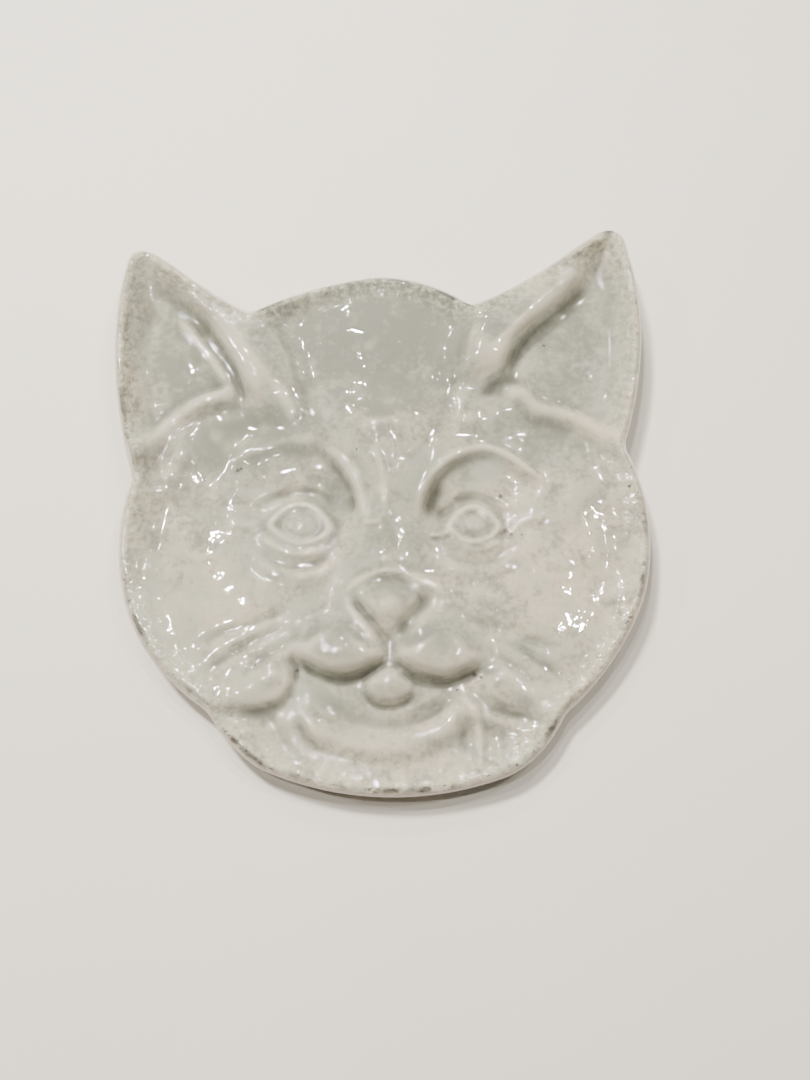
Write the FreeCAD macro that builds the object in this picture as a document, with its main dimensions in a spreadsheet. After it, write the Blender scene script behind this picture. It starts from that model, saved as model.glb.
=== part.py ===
import FreeCAD, Part
import math
import os

import Sketcher
from FreeCAD import Vector

# A small ceramic dish in the shape of a cat's face: a pressed slab of dark clay with an upturned
# rim and a raised face on its floor, under a thick pale glaze. The glaze stops just above the foot
# and breaks along the crest of the rim, so it is two coats: one over the face, one round the wall.
#
# Frame: millimetres, +Z up, the ears towards +Y, the origin under the middle of the box at the foot.

# --------------------------------------------------------------------------------------------
# Driving sizes. Each is one cell of the sheet.
# --------------------------------------------------------------------------------------------
SIZES = {
    # the whole dish
    "dish_width": 145.5,          # over the outer sides of the two ears
    "dish_length": 157.0,         # chin to the higher ear
    "wall_flare": 0.40,           # outward run of the wall for each unit of height
    "ear_flare": 0.20,            # the same round the ears
    "glaze_thickness": 0.6,
    "bare_foot": 1.2,             # unglazed band above the foot
    "blank_margin": 2.0,          # how far the blank stands above the highest rim
    # crest heights of the rim
    "ear_rim": 15.6,
    "notch_rim": 11.2,
    "crown_rim": 11.0,
    "cheek_rim": 10.0,
    "chin_rim": 8.2,
    # section of the rim, from the outline inwards
    "lip_drop": 1.1,              # the outline lies this far under the crest
    "lip_width": 2.2,             # outline to crest
    "bowl_slope": 8.0,            # crest to floor
    # floor of the bowl
    "face_floor": 6.4,
    "ear_floor": 6.6,
    "bib_floor": 5.6,
    "relief_pitch": 1.8,          # spacing of the relief's control net
    # outline: centre of each ear's rounded tip, in from the side and down from the top
    "right_ear_tip_in": 8.0, "right_ear_tip_down": 5.8,
    "left_ear_tip_in": 6.5, "left_ear_tip_down": 12.1,
    # outline: temples and cheeks, in from the sides, up from the middle
    "right_temple_in": 6.1, "right_temple_up": 12.4,
    "left_temple_in": 7.3, "left_temple_up": 2.9,
    "right_jowl_in": 3.1, "right_jowl_up": -27.5,
    "left_jowl_in": 7.9, "left_jowl_up": -30.1,
    # outline: top of the head, from the middle line and down from the top
    "right_notch_across": 25.8, "right_notch_down": 22.6,
    "crown_across": -0.8, "crown_down": 13.2,
    "left_notch_across": -37.1, "left_notch_down": 25.3,
    # outline: jaw and chin, from the middle line and up from the bottom
    "left_jaw_across": -41.9, "left_jaw_rise": 20.5,
    "chin_left_across": -28.1, "chin_left_rise": 6.5,
    "chin_right_across": 33.4, "chin_right_rise": 5.1,
    "right_jaw_across": 47.2, "right_jaw_rise": 19.5,
    # radii of the outline's arcs
    "left_chin_corner_radius": 37.0,
    "chin_radius": 84.0,
    "right_chin_corner_radius": 30.0,
    "right_jaw_radius": 74.0,
    "right_cheek_radius": 58.5,
    "right_ear_radius": 106.0,
    "right_ear_tip_radius": 5.8,
    "right_ear_edge_radius": 107.0,
    "right_crown_radius": 42.5,
    "left_crown_radius": 104.0,
    "left_ear_edge_radius": 116.0,
    "left_ear_tip_radius": 5.3,
    "left_ear_radius": 137.0,
    "left_cheek_radius": 56.0,
    "left_jaw_radius": 52.0,
}

doc = FreeCAD.newDocument("CatFaceDish")
sheet = doc.addObject("Spreadsheet::Sheet", "Sizes")
for row, (alias, value) in enumerate(SIZES.items(), start=1):
    sheet.set(f"A{row}", alias)
    sheet.set(f"B{row}", str(value))
    sheet.setAlias(f"B{row}", alias)
doc.recompute()


def size(alias):
    """The value of one cell of the sheet."""
    return float(sheet.get(alias))


# --------------------------------------------------------------------------------------------
# Outline: landmarks joined by arcs, anticlockwise from the left corner of the jaw.
# A landmark's place is written as an expression of the sheet, so that the sketches follow it.
# --------------------------------------------------------------------------------------------
class Landmark:
    """A corner of the outline, at the height of the rim's crest there."""

    # where each coordinate is measured from, which way, and the ending of the cell that holds it
    ACROSS = {"left": (-0.5, 1.0, "_in"), "right": (0.5, -1.0, "_in"), "middle": (0.0, 1.0, "_across")}
    ALONG = {"bottom": (-0.5, 1.0, "_rise"), "top": (0.5, -1.0, "_down"), "middle": (0.0, 1.0, "_up")}

    def __init__(self, name, side, end, rim, outward, flare="wall_flare", tip=None):
        """A landmark with a tip lies on that ear's rounded tip, in its own outward direction."""
        self.name, self.rim, self.flare = name, rim, flare
        self.outward = outward            # degrees, the direction in which the wall flares
        self.cosine, self.sine = math.cos(math.radians(outward)), math.sin(math.radians(outward))
        measured = tip or name
        self.x_formula, self.x = self.measure("dish_width", self.ACROSS[side], measured)
        self.y_formula, self.y = self.measure("dish_length", self.ALONG[end], measured)
        if tip:
            self.x_formula += f" + Sizes.{tip}_radius * cos({outward} deg)"
            self.y_formula += f" + Sizes.{tip}_radius * sin({outward} deg)"
            self.x += size(tip + "_radius") * self.cosine
            self.y += size(tip + "_radius") * self.sine

    @staticmethod
    def measure(overall, rule, name):
        """One coordinate, as an expression and as a number."""
        share, turn, ending = rule
        formula = f"Sizes.{overall} * {share} + Sizes.{name}{ending} * {turn}"
        return formula, size(overall) * share + size(name + ending) * turn

    def shift_formula(self, level, inset):
        """How far the outline lies outside this landmark at a level, as an expression."""
        return f"(Sizes.{self.flare} * (({level}) - Sizes.{self.rim}) - ({inset}))"

    def shift(self, level, inset):
        return size(self.flare) * (level - size(self.rim)) - inset

    def point(self, level, inset):
        """The landmark's place in the section at a level."""
        reach = self.shift(level, inset)
        return Vector(self.x + reach * self.cosine, self.y + reach * self.sine, 0)


LANDMARKS = [
    Landmark("left_jaw", "middle", "bottom", "chin_rim", 222),
    Landmark("chin_left", "middle", "bottom", "chin_rim", 240),
    Landmark("chin_right", "middle", "bottom", "chin_rim", 295),
    Landmark("right_jaw", "middle", "bottom", "chin_rim", 318),
    Landmark("right_jowl", "right", "middle", "cheek_rim", 342),
    Landmark("right_temple", "right", "middle", "notch_rim", 357),
    Landmark("right_ear_side", "right", "top", "ear_rim", -10, "ear_flare", "right_ear_tip"),
    Landmark("right_ear_point", "right", "top", "ear_rim", 102, "ear_flare", "right_ear_tip"),
    Landmark("right_notch", "middle", "top", "notch_rim", 98),
    Landmark("crown", "middle", "top", "crown_rim", 90),
    Landmark("left_notch", "middle", "top", "notch_rim", 102),
    Landmark("left_ear_point", "left", "top", "ear_rim", 70, "ear_flare", "left_ear_tip"),
    Landmark("left_ear_side", "left", "top", "ear_rim", 186, "ear_flare", "left_ear_tip"),
    Landmark("left_temple", "left", "middle", "notch_rim", 180),
    Landmark("left_jowl", "left", "middle", "cheek_rim", 198),
]

# The arc that leaves each landmark: the name of its radius, and +1 where it bulges outwards.
ARCS = [
    ("left_chin_corner_radius", 1), ("chin_radius", 1), ("right_chin_corner_radius", 1),
    ("right_jaw_radius", 1), ("right_cheek_radius", 1), ("right_ear_radius", 1),
    ("right_ear_tip_radius", 1), ("right_ear_edge_radius", -1), ("right_crown_radius", 1),
    ("left_crown_radius", 1), ("left_ear_edge_radius", -1), ("left_ear_tip_radius", 1),
    ("left_ear_radius", 1), ("left_cheek_radius", 1), ("left_jaw_radius", 1),
]


def arc_centre(start, end, radius, bulge):
    """Centre of the arc from start to end, walked anticlockwise round the dish."""
    chord = end - start
    half = chord.Length / 2
    outward = Vector(chord.y, -chord.x, 0).normalize()
    return (start + end) / 2 - outward * bulge * math.sqrt(radius * radius - half * half)


def arc_radius(index, level, inset):
    """Radius of one arc in the section at a level: it grows with the flare of the wall."""
    name, bulge = ARCS[index]
    follower = LANDMARKS[(index + 1) % len(LANDMARKS)]
    shift = (LANDMARKS[index].shift(level, inset) + follower.shift(level, inset)) / 2
    return size(name) + bulge * shift


def arc_radius_formula(index, level, inset):
    name, bulge = ARCS[index]
    here = LANDMARKS[index].shift_formula(level, inset)
    there = LANDMARKS[(index + 1) % len(LANDMARKS)].shift_formula(level, inset)
    sign = "+" if bulge > 0 else "-"
    return f"Sizes.{name} {sign} ({here} + {there}) / 2"


def origin_plane(body, role):
    """One of the body's own origin planes."""
    return next(item for item in body.Origin.OriginFeatures if item.Role == role)


def draw_section(body, name, level_formula, inset_formula, level, inset):
    """A closed sketch of the outline where the flared wall meets one level."""
    sketch = body.newObject("Sketcher::SketchObject", name)
    sketch.AttachmentSupport = [(origin_plane(body, "XY_Plane"), "")]
    sketch.MapMode = "FlatFace"
    sketch.setExpression("AttachmentOffset.Base.z", level_formula)
    count = len(LANDMARKS)
    points = [mark.point(level, inset) for mark in LANDMARKS]
    ends = []
    for index in range(count):
        start, end = points[index], points[(index + 1) % count]
        radius, bulge = arc_radius(index, level, inset), ARCS[index][1]
        centre = arc_centre(start, end, radius, bulge)
        first, last = (start, end) if bulge > 0 else (end, start)
        circle = Part.Circle(centre, Vector(0, 0, 1), radius)
        begin = math.atan2(first.y - centre.y, first.x - centre.x)
        finish = math.atan2(last.y - centre.y, last.x - centre.x)
        sketch.addGeometry(Part.ArcOfCircle(circle, begin, finish), False)
        ends.append((1, 2) if bulge > 0 else (2, 1))
    for index, mark in enumerate(LANDMARKS):
        before = (index - 1) % count
        sketch.addConstraint(
            Sketcher.Constraint("Coincident", before, ends[before][1], index, ends[index][0]))
        shift = mark.shift_formula(level_formula, inset_formula)
        for axis, place, centre_line, turn in (("X", points[index].x, mark.x_formula, "cos"),
                                               ("Y", points[index].y, mark.y_formula, "sin")):
            label = f"{mark.name}_{axis.lower()}"
            row = sketch.addConstraint(
                Sketcher.Constraint("Distance" + axis, -1, 1, index, ends[index][0], place))
            sketch.renameConstraint(row, label)
            sketch.setExpression("Constraints." + label,
                                 f"{centre_line} + {shift} * {turn}({mark.outward} deg)")
        row = sketch.addConstraint(Sketcher.Constraint("Radius", index, arc_radius(index, level, inset)))
        sketch.renameConstraint(row, f"{mark.name}_arc")
        sketch.setExpression(f"Constraints.{mark.name}_arc",
                             arc_radius_formula(index, level_formula, inset_formula))
    return sketch


def make_blank(name, bottom, top, inset):
    """The outline lofted with the wall's flare; bottom, top and inset are (expression, value)."""
    body = doc.addObject("PartDesign::Body", name)
    foot = draw_section(body, name + "Foot", bottom[0], inset[0], bottom[1], inset[1])
    brim = draw_section(body, name + "Brim", top[0], inset[0], top[1], inset[1])
    loft = body.newObject("PartDesign::AdditiveLoft", name + "Loft")
    loft.Profile = foot
    loft.Sections = [brim]
    loft.Ruled = True
    return body


# --------------------------------------------------------------------------------------------
# Relief: the height of the clay's upper surface, as one function of the place. The face is set out
# from the dish's middle, the chin from the lower edge and each ear from its own tip.
# --------------------------------------------------------------------------------------------
def ease(value):
    """0 below 0, 1 above 1 and a smooth step between."""
    value = min(max(value, 0.0), 1.0)
    return value * value * (3.0 - 2.0 * value)


class Dome:
    """A rounded mound (or, with a negative height, a dimple) with an elliptical edge."""

    def __init__(self, centre, radii, height, turn=0.0):
        self.centre, self.radii, self.height = centre, radii, height
        self.cos, self.sin = math.cos(math.radians(turn)), math.sin(math.radians(turn))

    def at(self, x, y):
        across, along = x - self.centre[0], y - self.centre[1]
        first = (across * self.cos + along * self.sin) / self.radii[0]
        second = (along * self.cos - across * self.sin) / self.radii[1]
        left = 1.0 - first * first - second * second
        return self.height * left * left if left > 0.0 else 0.0


class Stroke:
    """A ridge (or groove) of even width that follows a line of points."""

    def __init__(self, points, half_width, height):
        self.points, self.half_width, self.height = points, half_width, height

    def at(self, x, y):
        nearest = self.half_width
        for (ax, ay), (bx, by) in zip(self.points, self.points[1:]):
            dx, dy = bx - ax, by - ay
            share = ((x - ax) * dx + (y - ay) * dy) / (dx * dx + dy * dy)
            share = min(max(share, 0.0), 1.0)
            nearest = min(nearest, math.hypot(x - ax - share * dx, y - ay - share * dy))
        left = 1.0 - (nearest / self.half_width) ** 2
        return self.height * left * left


def placed(anchor, points):
    """Points given from an anchor, in the dish's frame."""
    return [(anchor[0] + x, anchor[1] + y) for x, y in points]


def mark_place(name):
    mark = next(item for item in LANDMARKS if item.name == name)
    return mark.x, mark.y


CHIN = (2.65, -size("dish_length") / 2)
LEFT_EAR = mark_place("left_ear_point")
RIGHT_EAR = mark_place("right_ear_point")

RELIEF_TILES = 4                  # the pressed surface is cut into this many faces each way

FACE_RELIEF = [
    # forehead, bridge of the nose, and the nose with the fold over it
    Dome((-2, 22), (34, 40), 2.6),
    Stroke([(0, 20), (3, 2), (3.5, -24)], 12, 2.4),
    Dome((3.5, -28), (15, 10), 2.4),
    Dome((3.5, -31), (10, 7), 1.4),
    Stroke([(-9.6, -28.4), (-4.7, -24.4), (0.2, -22), (5.2, -21.8), (11.2, -23.8), (20, -30)], 2.6, 0.9),
    # eye sockets, eyeballs and lids
    Dome((-21, -7), (19, 15), -2.8),
    Dome((25.5, -7), (17, 14), -2.8),
    Dome((-21, -7.8), (10, 6.8), 3.6),
    Dome((25.7, -8), (8.4, 5.8), 3.2),
    Stroke([(-30.5, -8.5), (-26.7, -4.3), (-21, -2.4), (-15.4, -3.3), (-10, -8)], 2.8, 1.9),
    Stroke([(-30, -11), (-24, -15.5), (-19, -16.2), (-14, -14.5), (-10, -10)], 2.8, 1.9),
    Stroke([(14.5, -10.2), (21.3, -5.8), (25.5, -3.4), (30, -4.3), (35, -9.6)], 2.8, 1.8),
    Stroke([(14.5, -10.8), (18.7, -12.3), (25, -14.4), (31.8, -12.6), (35, -9.6)], 2.8, 1.8),
    # brows
    Stroke([(-40, 8), (-33, 12), (-25, 14), (-16, 13), (-10, 9), (-5, 0), (-3, -7)], 4, 1.6),
    Stroke([(12, -9), (13, -2), (18, 7), (26, 11.4), (33, 11), (40, 6), (46, 2)], 4, 1.6),
    # cheeks
    Dome((-46, -30), (26, 26), 1.8),
    Dome((49, -30), (26, 26), 1.8),
    # muzzle pads and the groove between them
    Dome((-8.2, -40.5), (13.5, 9.5), 4.8),
    Dome((15.3, -40.8), (14, 9.8), 4.8),
    Stroke([(3.9, -36), (3.9, -47)], 3, -1.6),
    # whisker grooves
    Stroke([(-22, -32), (-31, -35.4), (-40, -39), (-46, -42.4)], 2.4, -1.0),
    Stroke([(-20, -35), (-29, -39), (-38, -44.4), (-43, -48)], 2.4, -1.0),
    Stroke([(-18, -36.5), (-26, -42.4), (-33, -48), (-38, -52)], 2.4, -1.0),
    Stroke([(21, -33), (31, -36.6), (41, -40), (48, -43)], 2.4, -1.0),
    Stroke([(22, -34.6), (32, -39.4), (42, -45.4), (49, -49)], 2.4, -1.0),
    Stroke([(26, -38.4), (34, -44.4), (40, -51)], 2.4, -1.0),
]

CHIN_RELIEF = [
    Dome((CHIN[0] + 0.9, CHIN[1] + 27), (8, 6), 2.6),
    # the mouth and the ridge of the chin under it
    Stroke(placed(CHIN, [(-17, 30), (-12, 25), (-6, 21), (1, 19.6), (8.5, 21.5), (14, 25), (19, 29)]),
           4, -1.8),
    Stroke(placed(CHIN, [(-21, 26), (-14, 18.5), (-6, 16), (2, 15.4), (9.5, 17.2), (16, 21), (19, 26)]),
           4, 1.8),
    # folds of the ruff
    Stroke(placed(CHIN, [(-24, 21), (-22, 14), (-17, 8)]), 3.5, 1.2),
    Stroke(placed(CHIN, [(20, 22), (22, 15), (22, 9)]), 3.5, 1.2),
    # the bib lies lower than the cheeks that overlap it
    Stroke(placed(CHIN, [(-44, 19), (-32, 19), (-25, 22)]), 4, -1.2),
    Stroke(placed(CHIN, [(24, 22), (33, 19), (42, 17)]), 4, -1.2),
]

LEFT_EAR_RELIEF = [
    # groove, rolled inner edge, base and the fold in front of the ear
    Stroke(placed(LEFT_EAR, [(5, -10), (10.6, -16), (15.5, -22), (20.8, -28.5), (25.6, -36.5), (29, -43)]),
           4.5, -2.2),
    Stroke(placed(LEFT_EAR, [(9, -10), (17, -17.5), (22, -25.5), (26.5, -34), (29.5, -41)]), 5, 4.2),
    Stroke(placed(LEFT_EAR, [(1, -58), (9, -50), (15, -46), (22, -44), (27, -42)]), 4, 2.0),
    Stroke(placed(LEFT_EAR, [(31, -22), (38, -30), (41.5, -39), (42, -52)]), 4, 1.6),
]

RIGHT_EAR_RELIEF = [
    Stroke(placed(RIGHT_EAR, [(-1, -10), (-6, -17), (-13, -24), (-20, -30), (-25, -36), (-29, -47)]),
           4.5, -2.2),
    Stroke(placed(RIGHT_EAR, [(-7, -9), (-16, -15.5), (-24, -23), (-31, -31), (-35, -38), (-36, -46)]),
           6, 4.6),
    Stroke(placed(RIGHT_EAR, [(-29.5, -50), (-24, -49), (-19, -54), (-6, -59), (-1, -63)]), 4, 2.0),
    Stroke(placed(RIGHT_EAR, [(-37, -24), (-40, -34), (-42.5, -46), (-41.5, -62)]), 4, 1.6),
]

RELIEF = FACE_RELIEF + CHIN_RELIEF + LEFT_EAR_RELIEF + RIGHT_EAR_RELIEF


class RimArc:
    """One arc of the rim's outline, with the crest's height at its two ends."""

    def __init__(self, index):
        count = len(LANDMARKS)
        start, end = LANDMARKS[index], LANDMARKS[(index + 1) % count]
        self.start, self.end = Vector(start.x, start.y, 0), Vector(end.x, end.y, 0)
        name, self.bulge = ARCS[index]
        self.radius = size(name)
        self.centre = arc_centre(self.start, self.end, self.radius, self.bulge)
        self.crest = size(start.rim), size(end.rim)
        self.along = self.end - self.start

    def nearest(self, x, y):
        """Distance to the arc and the crest's height at the nearest point."""
        spoke = Vector(x - self.centre.x, y - self.centre.y, 0)
        reach = spoke.Length
        foot = self.centre + spoke * (self.radius / reach) if reach > 0 else self.start
        share = (foot - self.start).dot(self.along) / self.along.dot(self.along)
        if 0.0 <= share <= 1.0 and (foot - self.start).Length <= 2 * self.along.Length:
            distance = abs(reach - self.radius)
        else:
            share = 0.0 if math.hypot(x - self.start.x, y - self.start.y) < \
                math.hypot(x - self.end.x, y - self.end.y) else 1.0
            corner = self.end if share else self.start
            distance = math.hypot(x - corner.x, y - corner.y)
        low, high = self.crest
        return distance, low + (high - low) * ease(share)


RIM = [RimArc(index) for index in range(len(LANDMARKS))]


def inside(x, y):
    """Whether a place lies within the outline, by its chords and the bulges beyond them."""
    crossings = 0
    for arc in RIM:
        a, b = arc.start, arc.end
        if (a.y > y) != (b.y > y) and x < a.x + (y - a.y) * (b.x - a.x) / (b.y - a.y):
            crossings += 1
        beyond = (b.x - a.x) * (y - a.y) - (b.y - a.y) * (x - a.x)
        in_circle = math.hypot(x - arc.centre.x, y - arc.centre.y) < arc.radius
        if in_circle and beyond * arc.bulge < 0:
            crossings += 1
    return crossings % 2 == 1


def floor_height(x, y):
    """The bowl's floor without its relief: face, ears and the lower bib under the chin."""
    ears = ease((y - 18.0) / 20.0) * ease((abs(x + 2.0) - 18.0) / 14.0)
    bib = ease((CHIN[1] + 26.0 - y) / 8.0)
    level = size("face_floor")
    level += (size("ear_floor") - level) * ears
    return level + (size("bib_floor") - level) * bib


def clay_height(x, y):
    """Height of the clay's upper surface at a place."""
    distance, crest = min((arc.nearest(x, y) for arc in RIM), key=lambda pair: pair[0])
    if not inside(x, y):
        distance = -distance
    lip, slope = size("lip_width"), size("bowl_slope")
    if distance < lip:
        out = min((lip - distance) / lip, 3.0)
        return crest - size("lip_drop") * out * out
    relief = floor_height(x, y) + sum(item.at(x, y) for item in RELIEF)
    fade = ease((distance - lip) / slope)
    return crest + (relief - crest) * fade


def relief_surface(raise_by):
    """The upper surface as a B-spline whose control net follows the height function."""
    pitch = size("relief_pitch")
    wide = math.ceil((size("dish_width") / 2 + 14) / pitch)
    long = math.ceil((size("dish_length") / 2 + 14) / pitch)
    net = [[Vector(i * pitch, j * pitch, clay_height(i * pitch, j * pitch) + raise_by)
            for j in range(-long, long + 1)] for i in range(-wide, wide + 1)]
    degree = 3

    def knots(count):
        inner = count - degree - 1
        return list(range(inner + 2)), [degree + 1] + [1] * inner + [degree + 1]

    across, across_mults = knots(len(net))
    along, along_mults = knots(len(net[0]))
    surface = Part.BSplineSurface()
    surface.buildFromPolesMultsKnots(net, across_mults, along_mults, across, along,
                                     False, False, degree, degree)
    return surface


def press(surface, height):
    """A solid block of the given height on the surface, whose faces are cut into even tiles."""
    u_first, u_last, v_first, v_last = surface.bounds()
    count = RELIEF_TILES
    blocks = []
    for i in range(count):
        for j in range(count):
            tile = surface.copy()
            tile.segment(u_first + (u_last - u_first) * i / count,
                         u_first + (u_last - u_first) * (i + 1) / count,
                         v_first + (v_last - v_first) * j / count,
                         v_first + (v_last - v_first) * (j + 1) / count)
            blocks.append(tile.toShape().extrude(Vector(0, 0, height)))
    return blocks[0].multiFuse(blocks[1:])


def add_shape(name, shape):
    """A solid that the boolean features below use."""
    feature = doc.addObject("Part::Feature", name)
    feature.Shape = shape
    return feature


def boolean(kind, name, base, tool):
    feature = doc.addObject("Part::" + kind, name)
    feature.Base = base
    feature.Tool = tool
    return feature


# --------------------------------------------------------------------------------------------
# Build
# --------------------------------------------------------------------------------------------
glaze = size("glaze_thickness")
blank_top = ("Sizes.ear_rim + Sizes.blank_margin", size("ear_rim") + size("blank_margin"))
clay_blank = make_blank("ClayBlank", ("0", 0.0), blank_top, ("Sizes.glaze_thickness", glaze))
coat_blank = make_blank("CoatBlank", ("Sizes.bare_foot", size("bare_foot")), blank_top, ("0", 0.0))

surface = relief_surface(0.0)
tall = 3 * size("ear_rim")
clay_press = add_shape("ClayPress", press(surface, tall))
coat_press = add_shape("CoatPress", press(relief_surface(glaze), tall))
coat_layer = add_shape("CoatLayer", press(surface, glaze))

# the clay: blank less everything above the pressed surface
clay_body = boolean("Cut", "clay_body", clay_blank, clay_press)
# the glaze on the face: an even layer over the pressed surface, out to the clay's own edge
face_glaze = boolean("Common", "face_glaze", clay_blank, coat_layer)
# the glaze on the wall: a sleeve round the clay, from the bare foot up to the glazed crest
wall_sleeve = boolean("Cut", "WallSleeve", coat_blank, clay_blank)
wall_glaze = boolean("Cut", "wall_glaze", wall_sleeve, coat_press)

doc.recompute()

for item in doc.Objects:
    if "Invalid" in item.State or "Error" in item.State:
        raise RuntimeError(f"{item.Name} did not build: {item.State}")

os.makedirs("parts", exist_ok=True)
for node in (clay_body, face_glaze, wall_glaze):
    node.Label = node.Name
    shape = node.Shape
    if shape.isNull() or not shape.isValid() or len(shape.Solids) != 1:
        raise RuntimeError(f"{node.Label} is not one valid solid")
    shape.exportStep(f"parts/{node.Label}.step")
    box = shape.BoundBox
    print(f"{node.Label}: {shape.Volume:.0f} mm3, {len(shape.Faces)} faces, "
          f"{box.XLength:.1f} by {box.YLength:.1f} by {box.ZLength:.1f} mm")
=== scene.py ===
"""A cat-face relief dish: dark fired clay, pressed with an upturned rim, under a thick milky glaze."""
import logging
import math
from dataclasses import dataclass, field
from enum import Enum

import bmesh
import bpy
import numpy as np
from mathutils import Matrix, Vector, noise


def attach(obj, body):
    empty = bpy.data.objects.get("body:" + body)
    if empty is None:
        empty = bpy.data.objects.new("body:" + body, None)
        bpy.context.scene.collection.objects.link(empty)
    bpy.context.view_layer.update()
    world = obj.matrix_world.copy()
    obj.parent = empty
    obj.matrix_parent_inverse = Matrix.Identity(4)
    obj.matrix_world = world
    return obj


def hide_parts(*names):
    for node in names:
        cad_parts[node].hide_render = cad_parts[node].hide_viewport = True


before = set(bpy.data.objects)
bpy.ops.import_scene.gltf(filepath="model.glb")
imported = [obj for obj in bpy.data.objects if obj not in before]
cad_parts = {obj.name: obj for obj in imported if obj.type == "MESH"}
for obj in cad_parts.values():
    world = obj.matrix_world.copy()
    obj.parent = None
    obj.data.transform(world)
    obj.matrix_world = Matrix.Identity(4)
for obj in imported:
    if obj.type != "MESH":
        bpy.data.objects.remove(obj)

LOG = logging.getLogger("dish")
MM = 0.001
UPPER_HALF = 5.5           # millimetres: every part of the rim stands higher than this
Point = tuple[float, float]


def ease(value: np.ndarray | float) -> np.ndarray | float:
    """Return 0 below 0, 1 above 1 and a smooth step between."""
    value = np.clip(value, 0.0, 1.0)
    return value * value * (3.0 - 2.0 * value)


def smooth_path(points: list[Point], steps: int = 6) -> np.ndarray:
    """Round a given line into a curve through its points.

    Args:
        points: The line's points, in millimetres.
        steps: How many short runs replace each run.

    Returns:
        The curve's points, one row each.
    """
    line = np.array(points, float)
    if len(line) < 3:
        return line
    ends = np.vstack([2 * line[0] - line[1], line, 2 * line[-1] - line[-2]])
    rows = []
    for a, b, c, d in zip(ends, ends[1:], ends[2:], ends[3:]):
        for share in np.arange(steps) / steps:
            rows.append(0.5 * (2 * b + (c - a) * share + (2 * a - 5 * b + 4 * c - d) * share**2
                               + (3 * b - a - 3 * c + d) * share**3))
    rows.append(line[-1])
    return np.array(rows)


# ---------------------------------------------------------------------------------------------
# Relief: what the maker's tool raised or pressed in
# ---------------------------------------------------------------------------------------------
@dataclass(frozen=True)
class Mound:
    """A mound or, with a negative height, a dimple, with an elliptical edge."""

    centre: Point
    radii: Point
    height: float
    turn: float = 0.0
    fullness: float = 2.0      # 2 is a soft swell, 1 a lens, 0.6 a full bulb with a steep edge

    def at(self, x: np.ndarray, y: np.ndarray) -> np.ndarray:
        """Return how much the mound raises each place."""
        angle = math.radians(self.turn)
        across, along = x - self.centre[0], y - self.centre[1]
        first = (across * math.cos(angle) + along * math.sin(angle)) / self.radii[0]
        second = (along * math.cos(angle) - across * math.sin(angle)) / self.radii[1]
        left = np.clip(1.0 - first**2 - second**2, 0.0, 1.0)
        return self.height * left**self.fullness


@dataclass(frozen=True)
class Ridge:
    """A raised line or, with a negative height, a groove."""

    points: list[Point]
    width: float               # from its middle to its foot
    height: float
    fade: float = 0.25         # the share of its length over which each end dies away
    fullness: float = 1.6

    def measure(self, x: np.ndarray, y: np.ndarray) -> tuple[np.ndarray, np.ndarray]:
        """Find the nearest place on the line.

        Args:
            x: Places across the dish, in millimetres.
            y: Places along the dish, in millimetres.

        Returns:
            The signed distance, positive to the left of the line's direction, and how far along the
            line the nearest place lies, from 0 to 1.
        """
        path = smooth_path(self.points)
        runs = np.linalg.norm(np.diff(path, axis=0), axis=1)
        total = runs.sum()
        best = np.full(x.shape, 1e9)
        side = np.zeros(x.shape)
        along = np.zeros(x.shape)
        gone = 0.0
        for (ax, ay), (bx, by), run in zip(path, path[1:], runs):
            dx, dy = (bx - ax) / run, (by - ay) / run
            reach = np.clip((x - ax) * dx + (y - ay) * dy, 0.0, run)
            off_x, off_y = x - ax - reach * dx, y - ay - reach * dy
            distance = np.hypot(off_x, off_y)
            nearer = distance < best
            best = np.where(nearer, distance, best)
            side = np.where(nearer, np.sign(dx * off_y - dy * off_x), side)
            along = np.where(nearer, (gone + reach) / total, along)
            gone += run
        return best * np.where(side == 0.0, 1.0, side), along

    def ends(self, along: np.ndarray) -> np.ndarray:
        """Return how strong the line is along its length."""
        if self.fade <= 0.0:
            return np.ones(along.shape)
        return ease(along / self.fade) * ease((1.0 - along) / self.fade)

    def at(self, x: np.ndarray, y: np.ndarray) -> np.ndarray:
        """Return how much the line raises each place."""
        distance, along = self.measure(x, y)
        left = np.clip(1.0 - (distance / self.width) ** 2, 0.0, 1.0)
        strength = np.maximum(self.ends(along), 0.0)
        return self.height * strength * left**self.fullness


@dataclass(frozen=True)
class Ledge(Ridge):
    """A step: the ground to the left of the line stands higher, and sinks back over a distance."""

    back: float = 10.0         # how far behind its edge the ledge sinks back to the ground

    def at(self, x: np.ndarray, y: np.ndarray) -> np.ndarray:
        """Return how much the ledge raises each place."""
        distance, along = self.measure(x, y)
        front = ease(0.5 + distance / (2.0 * self.width))
        behind = 1.0 - ease((distance - self.width) / self.back)
        return self.height * self.ends(along) * front * behind


FOREHEAD = [
    Mound((-2.0, 26.0), (38.0, 50.0), 2.6),
    Mound((-1.0, 52.0), (30.0, 24.0), 2.3),
    Mound((-4.0, 20.0), (20.0, 18.0), 0.8),
    Mound((-12.0, 38.0), (14.0, 14.0), -0.4),
    Ridge([(0.0, 24.0), (3.0, 2.0), (3.5, -24.0)], 14.0, 2.6, 0.12, 2.0),
    Ridge([(-1.9, 13.4), (0.5, 7.5), (1.8, 0.8), (1.9, -7.4)], 1.9, 0.8, 0.25),
    Ridge([(-8.0, 10.8), (-4.0, 5.0), (-2.0, -1.0), (-0.8, -7.0)], 2.2, -0.8, 0.2),
    Mound((8.0, -4.0), (7.0, 9.0), -0.6),
    Ridge([(-4.6, -8.4), (-1.0, -8.9), (2.2, -7.8)], 1.0, 0.7, 0.3),
]

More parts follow.
